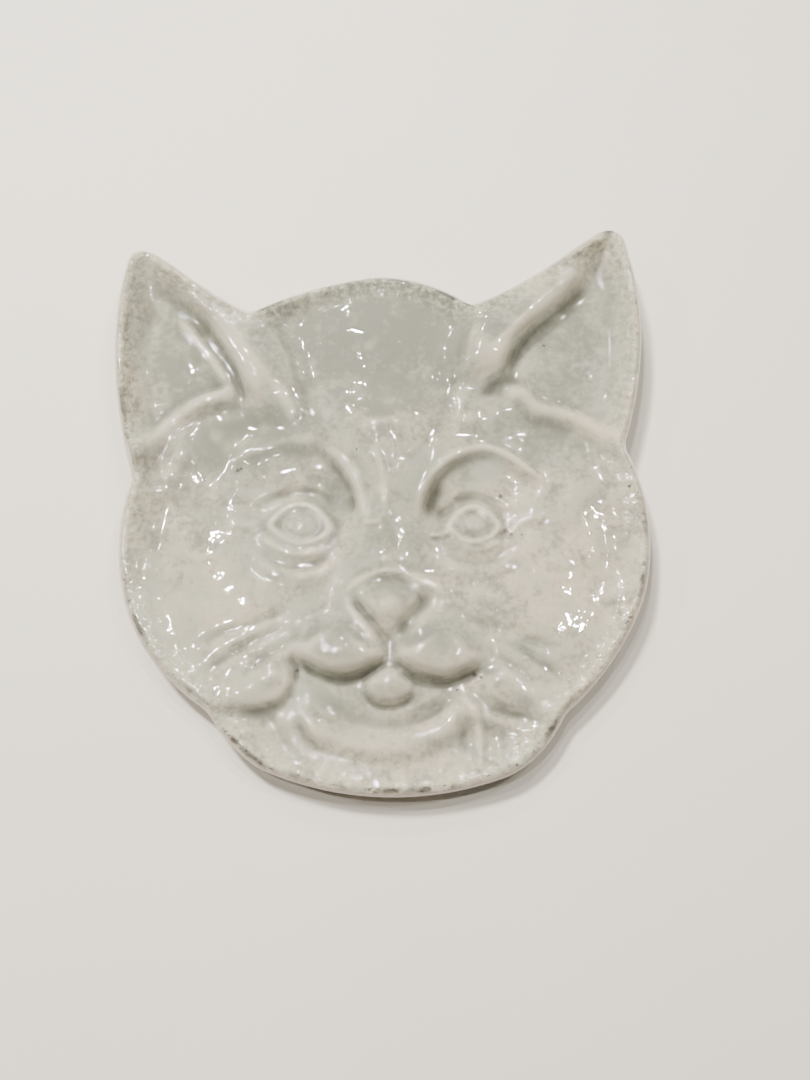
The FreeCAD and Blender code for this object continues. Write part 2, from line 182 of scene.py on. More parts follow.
LEFT_EYE = [
    Mound((-20.0, -5.0), (21.0, 16.0), -2.6),
    Mound((-10.0, -3.0), (6.5, 9.0), -1.5, 15.0),
    Mound((-22.0, 3.0), (13.0, 6.0), -0.8, 4.0),
    Mound((-20.4, -8.5), (5.9, 4.7), 2.9, 0.0, 0.7),
    Ridge([(-12.8, -9.8), (-13.9, -7.0), (-16.5, -4.2), (-20.5, -2.8), (-24.2, -3.8), (-26.8, -6.0),
           (-28.4, -8.6), (-27.0, -10.6), (-24.2, -12.8), (-20.5, -13.9), (-16.6, -13.2),
           (-14.0, -11.6), (-12.8, -9.8)], 1.6, 1.9, 0.0, 1.4),
    Ridge([(-31.4, -10.0), (-29.0, -13.0), (-25.2, -15.4), (-20.2, -16.5), (-15.2, -15.7),
           (-11.0, -12.6)], 2.1, 1.3, 0.2, 1.4),
    Ridge([(-31.6, -15.0), (-27.8, -18.6), (-21.6, -20.2), (-15.6, -19.2), (-11.2, -16.0)], 1.8, -0.8),
    Ridge([(-33.0, -17.5), (-27.0, -21.8), (-20.0, -23.2), (-13.0, -21.2), (-9.5, -16.5)], 2.8, 0.7),
    Ridge([(-34.0, -6.0), (-30.5, -2.2), (-26.0, 0.3), (-20.4, 1.2), (-14.6, -0.6), (-10.4, -4.4)],
          2.0, -1.2),
    Ridge([(-41.0, -8.4), (-36.5, -8.8), (-31.5, -8.8)], 2.2, 0.7),
    Ledge([(-3.9, -9.0), (-5.0, -3.0), (-7.0, 3.6), (-10.6, 9.2), (-16.0, 13.0), (-25.4, 13.8),
           (-33.6, 11.4), (-41.0, 7.4)], 2.2, -1.7, 0.16, back=12.0),
    Ridge([(-3.4, -8.8), (-4.7, -2.6), (-6.8, 3.8), (-10.8, 9.6), (-16.0, 13.2)], 1.4, 1.2, 0.15, 1.3),
    Ridge([(-15.0, 14.6), (-25.4, 15.6), (-34.0, 13.0), (-42.0, 8.6)], 5.0, 0.6),
]

RIGHT_EYE = [
    Mound((25.5, -4.0), (19.0, 16.0), -2.6),
    Mound((15.8, -3.0), (5.6, 8.0), -1.6, -20.0),
    Mound((32.0, 3.6), (10.0, 6.0), -0.5, -20.0),
    Mound((25.7, -8.3), (4.9, 4.0), 2.8, 0.0, 0.7),
    Ridge([(32.4, -9.2), (31.0, -6.6), (28.8, -4.4), (26.0, -3.2), (23.0, -4.1), (20.9, -6.2),
           (19.4, -9.0), (20.9, -11.0), (23.2, -12.7), (26.1, -13.3), (29.1, -12.4), (31.0, -11.0),
           (32.4, -9.2)], 1.5, 1.9, 0.0, 1.4),
    Ridge([(17.8, -11.4), (21.6, -14.0), (26.2, -15.1), (30.4, -14.2), (34.2, -11.2)], 1.9, 1.1, 0.2),
    Ridge([(18.8, -10.2), (16.0, -11.6), (13.2, -11.4)], 1.3, 1.0, 0.2),
    Ridge([(15.8, -15.0), (20.0, -17.8), (26.0, -19.0), (32.0, -17.8), (36.5, -13.6)], 1.8, -0.7),
    Ridge([(17.0, -19.4), (24.0, -21.8), (31.0, -21.2), (37.5, -16.5)], 2.8, 0.6),
    Ridge([(14.8, -7.6), (18.6, -3.4), (22.0, -0.8), (26.0, 0.2), (30.6, -1.4), (35.6, -5.8)], 1.9, -1.3),
    Ridge([(34.4, -9.6), (40.0, -7.2), (46.0, -6.8)], 2.0, 0.7),
    Ledge([(46.0, 1.4), (40.6, 5.2), (36.6, 8.6), (31.4, 11.6), (25.6, 11.4), (19.8, 8.4),
           (15.0, 3.4), (12.6, -2.8), (12.0, -9.0)], 2.2, -1.7, 0.14, back=12.0),
    Ridge([(11.4, -9.8), (11.8, -2.6), (14.4, 4.2), (19.2, 9.6), (25.6, 12.6), (32.0, 12.8),
           (37.6, 9.8), (42.0, 5.8), (47.0, 1.8)], 1.7, 1.0, 0.2, 1.3),
]

NOSE = [
    Mound((3.6, -28.0), (17.0, 12.0), 2.4),
    Ridge([(-9.8, -28.8), (-4.8, -24.6), (0.4, -22.4), (5.4, -22.2), (11.2, -24.0), (16.4, -26.4),
           (20.4, -30.4)], 1.1, 1.2, 0.22, 1.2),
    Mound((3.6, -30.2), (8.2, 5.4), 1.5, 0.0, 1.3),
    Mound((3.7, -33.4), (4.6, 5.4), 1.3, 0.0, 1.2),
    Ridge([(-6.8, -26.2), (-5.2, -30.2), (-2.6, -33.9), (0.6, -37.3), (2.9, -41.2), (3.6, -45.6)],
          2.4, -1.5, 0.3, 1.7),
    Ridge([(14.0, -26.0), (12.4, -30.2), (9.8, -33.9), (6.9, -37.0), (4.9, -40.6)],
          2.7, -1.5, 0.25, 1.7),
    Ridge([(-9.0, -28.6), (-6.4, -32.2), (-3.0, -36.4), (1.0, -41.8)], 1.8, 1.2, 0.25),
    Ridge([(3.8, -36.6), (3.9, -41.0), (3.7, -46.0)], 1.5, -0.3, 0.3, 1.4),
    Ridge([(-9.0, -22.0), (-13.0, -27.5)], 1.0, 0.5, 0.3),
]

MUZZLE = [
    Mound((3.6, -42.0), (28.0, 16.0), 1.2),
    Mound((-9.2, -41.0), (14.6, 10.4), 3.0, 10.0, 1.5),
    Mound((16.0, -41.4), (14.6, 10.4), 3.0, -8.0, 1.5),
    Ledge([(-22.0, -39.0), (-19.6, -43.6), (-14.4, -47.2), (-9.0, -48.6), (-4.0, -47.8), (0.6, -45.4),
           (3.2, -40.4)], 1.6, 2.2, 0.2, back=12.0),
    Ledge([(4.4, -40.4), (6.8, -45.4), (11.2, -48.2), (17.0, -49.3), (22.6, -47.6), (28.6, -43.6)],
          1.6, 2.2, 0.2, back=12.0),
    Ridge([(-21.0, -44.4), (-16.4, -48.0), (-9.4, -50.2), (-2.4, -48.8), (3.4, -45.0)], 1.6, -0.8, 0.2),
    Ridge([(4.2, -45.4), (9.0, -49.4), (16.0, -51.2), (23.0, -49.6), (29.0, -45.8)], 1.6, -0.8, 0.2),
    Mound((3.4, -52.8), (21.0, 9.0), -1.2, 0.0, 1.4),
    Mound((3.4, -51.4), (6.5, 4.7), 2.5, 0.0, 0.8),
    Ridge([(-3.6, -53.0), (-0.8, -56.0), (3.4, -57.0), (7.6, -55.8), (10.4, -52.8)], 1.4, -0.8, 0.2),
    Ridge([(-17.0, -50.4), (-12.4, -55.2), (-6.0, -58.8), (1.0, -60.4), (8.0, -60.0), (15.0, -57.0),
           (21.0, -51.6)], 3.0, -1.2, 0.18),
    Ridge([(-21.0, -53.0), (-18.0, -59.4), (-11.8, -63.6), (-4.0, -65.8), (4.4, -66.2), (12.4, -64.4),
           (19.4, -60.0), (23.4, -53.0)], 4.8, 1.9, 0.14, 1.9),
    Mound((2.0, -71.0), (28.0, 7.0), 0.9),
]

WHISKERS = [
    Mound((-40.0, -36.0), (32.0, 27.0), 2.0),
    Mound((47.0, -36.0), (30.0, 27.0), 2.0),
    Mound((-27.5, -48.0), (13.5, 5.4), 0.8, 38.0, 1.5),
    Mound((34.0, -49.4), (12.5, 5.0), 0.8, -38.0, 1.5),
    Ridge([(-20.0, -31.4), (-30.6, -35.4), (-40.4, -38.9), (-47.0, -43.4)], 1.8, -0.8, 0.25),
    Ridge([(-19.7, -34.9), (-29.4, -39.2), (-38.0, -44.4), (-44.5, -49.6)], 1.9, -0.9, 0.25),
    Ridge([(-18.0, -37.6), (-26.3, -43.0), (-30.5, -45.6), (-33.6, -47.6)], 1.9, -0.7, 0.3),
    Ridge([(-22.4, -43.0), (-20.6, -47.0), (-20.6, -51.0)], 1.9, -1.4, 0.2),
    Ridge([(20.7, -32.9), (31.1, -36.6), (40.9, -40.2), (49.2, -43.2)], 1.7, -0.8, 0.25),
    Ridge([(24.2, -36.6), (33.0, -40.4), (42.7, -46.4), (50.3, -51.0)], 1.8, -0.9, 0.25),
    Ridge([(28.0, -41.0), (34.8, -46.4), (41.4, -52.4)], 1.8, -0.8, 0.25),
]

RUFF = [
    Ridge([(20.6, -52.0), (25.4, -57.8), (31.0, -59.8), (38.0, -61.8), (46.0, -63.4)], 2.0, 1.1, 0.15),
    Ridge([(-23.6, -55.6), (-22.0, -61.0), (-18.4, -66.6), (-13.0, -71.6)], 2.8, 1.3, 0.25),
    Ridge([(-19.6, -58.6), (-17.6, -63.4), (-13.6, -68.4)], 2.2, -0.8, 0.25),
    Ridge([(23.4, -55.4), (25.5, -61.0), (26.0, -67.0), (25.2, -72.6)], 1.9, 1.3, 0.22),
    Ridge([(20.4, -57.6), (21.8, -62.6), (21.8, -69.6)], 1.9, -0.8, 0.25),
    Ridge([(29.4, -63.0), (31.0, -67.0), (31.6, -71.0)], 2.6, 0.6, 0.3),
]

CHEEKS = [
    Mound((49.0, -17.0), (12.0, 13.0), 1.2),
    Ridge([(50.0, -3.0), (55.0, -8.6), (57.6, -15.0), (56.6, -22.4)], 2.8, 0.5, 0.3),
    Mound((-45.0, -17.0), (14.0, 14.0), 0.9),
    Mound((-52.0, 13.0), (12.0, 13.0), 1.9, 40.0),
    Ridge([(-51.6, 15.0), (-55.2, 7.4), (-57.6, 1.0), (-61.6, -3.6)], 3.4, 0.8, 0.25),
    Mound((-33.0, 17.0), (17.0, 9.0), -1.9, 8.0),
    Mound((-57.0, 22.0), (8.0, 9.0), -1.0),
    Mound((44.0, 15.0), (20.0, 10.0), -1.9, -18.0),
    Mound((58.0, 2.0), (12.0, 14.0), 0.9),
    Mound((33.0, 24.0), (9.0, 7.0), 0.9),
]

LEFT_EAR = [
    Ledge([(-61.0, 64.4), (-57.6, 60.4), (-52.6, 54.4), (-47.6, 48.0), (-42.8, 41.0), (-38.6, 33.6),
           (-35.4, 26.6), (-32.6, 19.0)], 3.0, 3.8, 0.28, back=18.0),
    Ridge([(-62.0, 67.4), (-55.0, 63.4), (-47.8, 57.2), (-41.8, 50.0), (-36.6, 41.6), (-32.6, 32.4),
           (-30.4, 24.0)], 6.4, 1.0, 0.30),
    Ridge([(-59.4, 61.0), (-54.6, 55.4), (-49.4, 49.0), (-44.4, 41.8), (-40.0, 34.4), (-37.0, 27.6)],
          2.4, -1.3, 0.2),
    Ridge([(-58.4, 54.4), (-52.6, 46.6), (-46.8, 39.4), (-42.2, 32.8), (-39.4, 27.6)], 2.4, 1.2, 0.25),
    Ridge([(-63.0, 44.0), (-57.6, 45.4), (-53.6, 39.6), (-51.6, 34.0)], 1.8, 0.35, 0.3),
]

RIGHT_EAR = [
    Ledge([(62.6, 69.6), (57.6, 61.4), (51.0, 54.4), (44.0, 48.6), (39.0, 43.2), (36.0, 37.0),
           (34.0, 28.4)][::-1], 3.2, 4.7, 0.22, back=22.0),
    Ridge([(62.0, 73.0), (53.6, 67.4), (45.6, 60.8), (38.6, 53.6), (33.0, 46.4), (29.6, 38.0),
           (29.4, 30.6)], 8.0, 1.0, 0.12),
    Ridge([(61.0, 66.4), (57.0, 60.2), (50.4, 53.2), (43.6, 47.2), (39.0, 41.8), (36.8, 36.6),
           (36.0, 32.0)], 2.4, -1.2, 0.24),
]

FOLDS = [
    Ridge([(-20.6, 44.0), (-18.4, 34.0), (-18.6, 24.0)], 3.0, -0.5, 0.3),
    Ridge([(19.6, 42.0), (17.8, 32.0), (17.6, 22.0)], 3.0, -0.4, 0.3),
]

# What runs on over the rim: the jowls' lower edges, the ears' folds and the ridges at their feet.
OVER_RIM = [
    Ledge([(-56.0, -54.0), (-50.0, -56.4), (-43.0, -57.4), (-36.6, -57.3), (-29.7, -56.7),
           (-24.0, -54.9), (-21.2, -51.0), (-20.0, -45.6)], 0.9, 1.9, 0.12, back=13.0),
    Ledge([(25.6, -47.0), (27.2, -51.4), (30.6, -55.8), (36.4, -58.2), (45.0, -60.0), (52.0, -60.8),
           (58.0, -60.0)], 1.2, 1.4, 0.12, back=13.0),
    Ledge([(-23.4, 15.6), (-22.0, 24.0), (-22.8, 32.8), (-25.5, 41.6), (-29.2, 48.4), (-34.6, 52.8),
           (-40.0, 56.0)], 1.5, 1.2, 0.16, back=8.0),
    Ledge([(29.0, 58.0), (26.6, 52.6), (24.3, 43.6), (21.9, 32.8), (21.0, 24.4), (22.0, 15.2)],
          1.5, 1.1, 0.16, back=8.0),
    Ridge([(-71.0, 1.0), (-67.6, 5.4), (-62.6, 12.4), (-56.0, 21.6), (-49.3, 26.2), (-43.0, 28.3),
           (-37.6, 29.4)], 4.2, 2.6, 0.10, 1.9),
    Ridge([(33.6, 28.0), (39.3, 29.0), (44.5, 24.6), (51.8, 22.6), (58.0, 19.6), (63.4, 14.8),
           (68.0, 9.0), (70.6, 5.0)], 4.0, 1.9, 0.10, 1.9),
]

# Where the glaze lies thick and grey-green, with painted shade darkening these patches too (positive), or
# thin and warm (negative).
THICK_GLAZE_AND_SHADE = [
    Mound((29.5, -49.0), (5.0, 2.6), 1.8, -35.0),
    Mound((37.0, -55.0), (5.0, 2.4), 1.7, -30.0),
    Mound((39.0, -41.5), (8.0, 2.8), 1.5, -14.0),
    Mound((-31.0, -47.0), (5.0, 2.4), 1.3, 30.0),
    Mound((4.0, -28.5), (9.0, 5.0), 1.7),
    Mound((-20.4, -8.5), (6.4, 5.2), 1.6),
    Mound((25.7, -8.3), (5.4, 4.6), 1.6),
    Mound((-14.0, 0.0), (10.0, 9.0), 0.6, -30.0),
    Mound((0.0, 50.0), (56.0, 32.0), 2.2),
    Mound((-39.0, 17.0), (32.0, 16.0), 2.0, 4.0),
    Mound((-4.0, 24.0), (30.0, 16.0), 0.6),
    Mound((44.0, 17.0), (26.0, 15.0), 0.9),
    Mound((-54.0, 38.0), (15.0, 30.0), 1.5, 20.0),
    Mound((54.0, 42.0), (15.0, 30.0), 1.4, -20.0),
    Mound((4.0, -14.0), (14.0, 17.0), 0.7),
    Mound((-10.0, -41.0), (15.0, 9.0), 2.2),
    Mound((15.0, -41.0), (16.0, 9.0), 1.7),
    Mound((-53.0, 20.0), (17.0, 6.0), -1.9, 36.0),
    Mound((57.0, 19.0), (15.0, 5.0), -1.5, -34.0),
    Mound((3.0, -52.0), (22.0, 8.0), 0.7),
    Mound((-14.0, 2.0), (9.0, 12.0), 0.6),
    Mound((-45.0, 0.0), (12.0, 26.0), 0.5),
    Mound((-44.0, -30.0), (24.0, 20.0), -0.6),
    Mound((48.0, -26.0), (24.0, 28.0), -0.6),
    Mound((-35.0, 26.0), (10.0, 6.0), -0.7, 30.0),
    Mound((0.0, -70.0), (40.0, 12.0), -0.3),
]

# Where the rim has lost its glaze and shows dark clay.
WORN = [
    Mound((21.0, 58.0), (10.0, 3.6), 1.0, -24.0),
    Mound((25.0, 56.0), (2.6, 1.8), 1.5, -24.0),
    Mound((-30.0, 57.0), (10.0, 4.0), 0.9, 28.0),
    Mound((-6.0, 65.0), (12.0, 3.0), 0.5, 4.0),
    Mound((-33.0, -68.0), (16.0, 5.0), 0.7, -38.0),
    Mound((10.0, -76.0), (26.0, 4.0), 0.7, -2.0),
    Mound((44.0, -64.0), (10.0, 6.0), 0.7, 48.0),
    Mound((-68.0, 20.0), (4.0, 12.0), 0.7, 4.0),
    Mound((-60.0, -38.0), (6.0, 12.0), 0.6, 30.0),
    Mound((69.0, -20.0), (4.0, 14.0), 0.5),
    Mound((68.0, 60.0), (4.0, 12.0), 0.5, 10.0),
    Mound((66.0, 77.0), (4.0, 3.0), 0.8),
]

# Pinholes: place across and along the dish, and radius.
PINHOLES = [(34.2, -10.2, 0.75), (35.6, -11.2, 0.55), (38.4, -11.4, 0.35), (-46.8, 3.8, 0.35),
            (-38.0, 6.8, 0.55), (-37.2, 7.4, 0.4), (67.0, 0.8, 0.4), (-20.0, -47.6, 0.5),
            (-30.4, -46.4, 0.3), (25.0, -48.6, 0.6), (26.4, -49.4, 0.4), (20.4, -52.4, 0.4),
            (33.4, 0.2, 0.7), (46.6, 44.0, 0.4), (-5.6, 11.4, 0.3), (4.8, 12.0, 0.3)]

RELIEF = [FOREHEAD, CHEEKS, LEFT_EAR, RIGHT_EAR, FOLDS, LEFT_EYE, RIGHT_EYE, NOSE, WHISKERS, MUZZLE, RUFF]


# ---------------------------------------------------------------------------------------------
# Outline and section of the dish, read from the frame
# ---------------------------------------------------------------------------------------------
@dataclass
class Rim:
    """The dish's edge as seen from above, and the height of its crest all round."""

    samples: int = 1440
    lip_width: float = 1.9          # outline to crest
    lip_drop: float = 1.1           # the outline lies this far under the crest
    corner_blur: float = 0.7        # degrees over which the glaze rounds a corner
    crest_blur: float = 3.0
    angles: np.ndarray = field(init=False)
    radii: np.ndarray = field(init=False)
    crests: np.ndarray = field(init=False)
    normals: np.ndarray = field(init=False)
    points: np.ndarray = field(init=False)

    def __post_init__(self) -> None:
        """Read the outline from the wall's glaze and the crest from the face's."""
        self.angles = np.linspace(-math.pi, math.pi, self.samples, endpoint=False)
        wall = self.outer_points("wall_glaze")
        self.radii = self.blur(self.follow(wall[0], wall[1]), self.corner_blur)
        top = self.outer_points("face_glaze")
        self.crests = self.blur(self.highest(top), self.crest_blur)
        self.points = np.c_[self.radii * np.cos(self.angles), self.radii * np.sin(self.angles)]
        along = np.roll(self.points, -1, axis=0) - np.roll(self.points, 1, axis=0)
        along /= np.linalg.norm(along, axis=1)[:, None]
        self.normals = np.c_[along[:, 1], -along[:, 0]]

    @staticmethod
    def outer_points(node: str) -> tuple[np.ndarray, np.ndarray, np.ndarray]:
        """Return a node's points as angle, radius and height, in millimetres."""
        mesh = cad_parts[node].data
        flat = np.empty(len(mesh.vertices) * 3)
        mesh.vertices.foreach_get("co", flat)
        ends = np.empty(len(mesh.edges) * 2, dtype=np.int32)
        mesh.edges.foreach_get("vertices", ends)
        points = flat.reshape(-1, 3) / MM
        first, last = points[ends[::2]], points[ends[1::2]]
        high = np.minimum(first[:, 2], last[:, 2]) > UPPER_HALF
        first, last = first[high, None], last[high, None]
        share = np.linspace(0.0, 1.0, 12)[None, :, None]
        x, y, z = (first + (last - first) * share).reshape(-1, 3).T
        return np.arctan2(y, x), np.hypot(x, y), z

    def follow(self, angle: np.ndarray, radius: np.ndarray) -> np.ndarray:
        """Trace the outermost points all round, and join them evenly."""
        bins = np.floor((angle + math.pi) / (2 * math.pi) * 480).astype(int) % 480
        kept = []
        for number in range(480):
            inside = np.flatnonzero(bins == number)
            if len(inside):
                best = inside[np.argmax(radius[inside])]
                kept.append((angle[best], radius[best]))
        kept.sort()
        line = np.array(kept)
        return np.interp(self.angles, line[:, 0], line[:, 1], period=2 * math.pi)

    def highest(self, points: tuple[np.ndarray, np.ndarray, np.ndarray]) -> np.ndarray:
        """Return the crest's height at each sample, from the points close to the outline."""
        angle, radius, height = points
        edge = np.interp(angle, self.angles, self.radii, period=2 * math.pi)
        near = radius > edge - 6.0
        angle, height = angle[near], height[near]
        bins = np.floor((angle + math.pi) / (2 * math.pi) * 180).astype(int) % 180
        middles, tops = [], []
        for number in range(180):
            inside = height[bins == number]
            if len(inside):
                middles.append((number + 0.5) / 180 * 2 * math.pi - math.pi)
                tops.append(inside.max())
        return np.interp(self.angles, middles, tops, period=2 * math.pi)

    def blur(self, values: np.ndarray, degrees: float) -> np.ndarray:
        """Smooth values round the circle."""
        reach = np.arange(-40, 41)
        weights = np.exp(-0.5 * (reach * 360.0 / self.samples / degrees) ** 2)
        weights /= weights.sum()
        return sum(weight * np.roll(values, step) for weight, step in zip(weights, reach))

    def radius(self, angle: np.ndarray) -> np.ndarray:
        """Return the outline's distance from the middle in a direction."""
        return np.interp(angle, self.angles, self.radii, period=2 * math.pi)

    def nearest(self, x: np.ndarray, y: np.ndarray) -> tuple[np.ndarray, np.ndarray]:
        """Measure from the outline.

        Args:
            x: Places across the dish, in millimetres.
            y: Places along the dish, in millimetres.

        Returns:
            The distance to the outline and the crest's height at the nearest place on it.
        """
        distance = np.empty(x.shape)
        crest = np.empty(x.shape)
        a = self.points
        run = np.roll(a, -1, axis=0) - a
        length = (run**2).sum(axis=1)
        for start in range(0, len(x), 4000):
            part = slice(start, start + 4000)
            px, py = x[part, None] - a[:, 0], y[part, None] - a[:, 1]
            share = np.clip((px * run[:, 0] + py * run[:, 1]) / length, 0.0, 1.0)
            gap = np.hypot(px - share * run[:, 0], py - share * run[:, 1])
            best = gap.argmin(axis=1)
            distance[part] = gap[np.arange(len(best)), best]
            crest[part] = self.crests[best]
        return distance, crest


@dataclass
class Pressing:
    """The dish's upper surface, as one height for each place."""

    rim: Rim
    face_floor: float = 7.0
    ear_floor: float = 7.2
    ear_rise: float = 2.4           # the ear's bowl rises this much towards its tip
    bib_floor: float = 6.2
    chin_edge: float = -52.5
    slope: float = 9.0              # from the crest down to the floor of the face
    ear_slope: float = 6.5

    def floor(self, x: np.ndarray, y: np.ndarray) -> np.ndarray:
        """Return the bowl's floor without its relief."""
        ears = ease((y - 18.0) / 20.0) * ease((np.abs(x + 2.0) - 18.0) / 14.0)
        bib = ease((self.chin_edge - y) / 8.0)
        rise = self.ear_rise * np.clip((y - 25.0) / 45.0, 0.0, 1.0)
        level = self.face_floor + (self.ear_floor + rise - self.face_floor) * ears
        return level + (self.bib_floor - level) * bib

    def height(self, x: np.ndarray, y: np.ndarray, distance: np.ndarray,
               crest: np.ndarray) -> np.ndarray:
        """Work out the glazed surface.

        Args:
            x: Places across the dish, in millimetres.
            y: Places along the dish, in millimetres.
            distance: How far each place lies from the outline.
            crest: The crest's height at the nearest place on the outline.

        Returns:
            The surface's height.
        """
        relief = self.floor(x, y)
        for group in RELIEF:
            for item in group:
                relief = relief + item.at(x, y)
        lip = self.rim.lip_width
        slope = self.slope + (self.ear_slope - self.slope) * ease((y - 2.0) / 26.0)
        left = 1.0 - np.clip((distance - lip) / slope, 0.0, 1.0)
        inner = relief + (crest - relief) * (0.65 * left**2 + 0.35 * ease(left))
        out = np.clip((lip - distance) / lip, 0.0, 1.0)
        surface = np.where(distance < lip, crest - self.rim.lip_drop * out**2, inner)
        over = sum(item.at(x, y) for item in OVER_RIM)
        return surface + over * ease((distance - 0.5) / 2.2)


def wander(x: np.ndarray, y: np.ndarray, size: float, seed: float) -> np.ndarray:
    """Return smooth unevenness between about -1 and 1, whose lumps are a size in millimetres."""
    return np.array([noise.noise(Vector((a / size, b / size, seed))) for a, b in zip(x, y)])


def disc_from_square(u: np.ndarray, v: np.ndarray) -> tuple[np.ndarray, np.ndarray]:
    """Turn a square grid into a round one, and return its radius and angle."""
    wide = np.abs(u) > np.abs(v)
    safe_u, safe_v = np.where(wide, u, 1.0), np.where(wide | (v == 0.0), 1.0, v)
    radius = np.where(wide, u, v)
    angle = np.where(wide, math.pi / 4 * v / safe_u, math.pi / 2 - math.pi / 4 * u / safe_v)
    return np.abs(radius), np.where(radius < 0.0, angle + math.pi, angle)


def blurred(grid: np.ndarray, times: int) -> np.ndarray:
    """Smooth a square table of values by averaging neighbours."""
    for _ in range(times):
        padded = np.pad(grid, 1, mode="edge")
        grid = 0.5 * grid + 0.125 * (padded[:-2, 1:-1] + padded[2:, 1:-1] + padded[1:-1, :-2]
                                     + padded[1:-1, 2:])
    return grid


def finish_object(bm: bmesh.types.BMesh, name: str, node: str,
                  material: bpy.types.Material) -> bpy.types.Object:
    """Turn a bmesh into a smooth piece that rides on the dish.

    Args:
        bm: The shape, in metres.
        name: The piece's name.
        node: The CAD node that it stands for.
        material: What it is made of.

    Returns:
        The new object.
    """
    bmesh.ops.recalc_face_normals(bm, faces=bm.faces)
    for face in bm.faces:
        face.smooth = True
    mesh = bpy.data.meshes.new(name)
    bm.to_mesh(mesh)
    bm.free()
    mesh.materials.append(material)
    piece = bpy.data.objects.new(name, mesh)
    bpy.context.scene.collection.objects.link(piece)
    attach(piece, "root")
    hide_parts(node)
    return piece


@dataclass
class FaceCoat:
    """The glaze over the face, out to the rim's outer edge."""

    pressing: Pressing
    cells: int = 220
    thickness: float = 0.55
    unevenness: float = 0.13
    froth: float = 0.19
    bead: float = 0.22              # the rounded line along the rim's crest

    def build(self, material: bpy.types.Material) -> bpy.types.Object:
        """Make the coat and dress it."""
        bm = bmesh.new()
        bmesh.ops.create_grid(bm, x_segments=self.cells, y_segments=self.cells, size=1.0)
        bm.verts.ensure_lookup_table()
        square = np.array([vert.co[:2] for vert in bm.verts])
        radius, angle = disc_from_square(square[:, 0], square[:, 1])
        reach = radius * self.pressing.rim.radius(angle)
        x, y = reach * np.cos(angle), reach * np.sin(angle)
        distance, crest = self.pressing.rim.nearest(x, y)
        side = int(round(math.sqrt(len(x))))
        order = np.lexsort((np.round(square[:, 0], 5), np.round(square[:, 1], 5)))
        rounded = np.empty((2, len(x)))
        rounded[0, order] = blurred(distance[order].reshape(side, side), 30).ravel()
        rounded[1, order] = blurred(crest[order].reshape(side, side), 60).ravel()
        inner = ease((distance - 4.0) / 5.0)
        z = self.pressing.height(x, y, distance + (rounded[0] - distance) * inner,
                                 crest + (rounded[1] - crest) * inner)
        grid = blurred(z[order].reshape(side, side), 3)
        measures = {"swell": np.empty(len(x)), "edge": np.minimum(distance, 20.0)}
        measures["swell"][order] = np.clip(grid - blurred(grid, 14), -1.0, 1.0).ravel()
        # Thick grey-green glaze and painted shade, summed from the patch table.
        measures["pool_and_shade"] = sum(patch.at(x, y) for patch in THICK_GLAZE_AND_SHADE)
        measures["wear"] = sum(patch.at(x, y) for patch in WORN)
        z_smooth = np.empty(len(x))
        z_smooth[order] = grid.ravel()
        keep = ease(distance / 1.5)
        z = z + (z_smooth - z) * keep
        rough = self.unevenness * (wander(x, y, 9.0, 3.1) + 0.6 * wander(x, y, 4.0, 7.7))
        froth = self.froth * wander(x, y, 2.2, 1.3) * (1.0 - ease((distance - 5.0) / 5.0))
        bead = self.bead * np.exp(-((distance - 2.0) / 0.9) ** 2)
        z = z + (rough + froth + bead) * keep
        for vert, px, py, pz in zip(bm.verts, x, y, z):
            vert.co = Vector((px, py, pz)) * MM
        for name, values in measures.items():
            layer = bm.verts.layers.float.new(name)
            for vert, value in zip(bm.verts, values):
                vert[layer] = float(value)
        bmesh.ops.recalc_face_normals(bm, faces=bm.faces)
        bmesh.ops.solidify(bm, geom=bm.faces[:], thickness=self.thickness * MM)
        return finish_object(bm, "face_coat", "face_glaze", material)


@dataclass
class Wall:
    """What the coat round the wall and the clay under it share: a ring that follows the outline."""

    rim: Rim
    flare: float = 0.40
    ear_flare: float = 0.20
    segments: int = 880

    def ring(self, level: float | np.ndarray, inset: float | np.ndarray,
             angle: np.ndarray) -> tuple[np.ndarray, np.ndarray]:
        """Place a ring on the flared wall.

        Args:
            level: The ring's height, in millimetres.
            inset: How far the ring lies inside the wall.
            angle: The directions of its points.

        Returns:
            The ring's places across and along the dish.
        """
        rim = self.rim
        period = 2 * math.pi
        x = np.interp(angle, rim.angles, rim.points[:, 0], period=period)
        y = np.interp(angle, rim.angles, rim.points[:, 1], period=period)
        normal = np.c_[np.interp(angle, rim.angles, rim.normals[:, 0], period=period),
                       np.interp(angle, rim.angles, rim.normals[:, 1], period=period)]
        normal /= np.linalg.norm(normal, axis=1)[:, None]
        crest = np.interp(angle, rim.angles, rim.crests, period=period)
        tall = ease((crest - 11.5) / 3.0)
        flare = self.flare + (self.ear_flare - self.flare) * tall
        shift = flare * (level - crest) - inset
        return x + normal[:, 0] * shift, y + normal[:, 1] * shift

    def crest(self, angle: np.ndarray) -> np.ndarray:
        """Return the crest's height in a direction."""
        return np.interp(angle, self.rim.angles, self.rim.crests, period=2 * math.pi)


def set_ring(verts: list[bmesh.types.BMVert], x: np.ndarray, y: np.ndarray, z: np.ndarray) -> None:
    """Move a ring of vertices into place, from millimetres."""
    for vert, px, py, pz in zip(verts, x, y, np.broadcast_to(z, x.shape)):
        vert.co = Vector((px, py, pz)) * MM


def next_ring(bm: bmesh.types.BMesh, edges: list[bmesh.types.BMEdge]) -> tuple[list, list]:
    """Extrude a ring of edges, and return its vertices in the old order and its edges."""
    made = bmesh.ops.extrude_edge_only(bm, edges=edges)["geom"]
    verts = [item for item in made if isinstance(item, bmesh.types.BMVert)]
    rows = [item for item in made if isinstance(item, bmesh.types.BMEdge)]
    return verts, rows


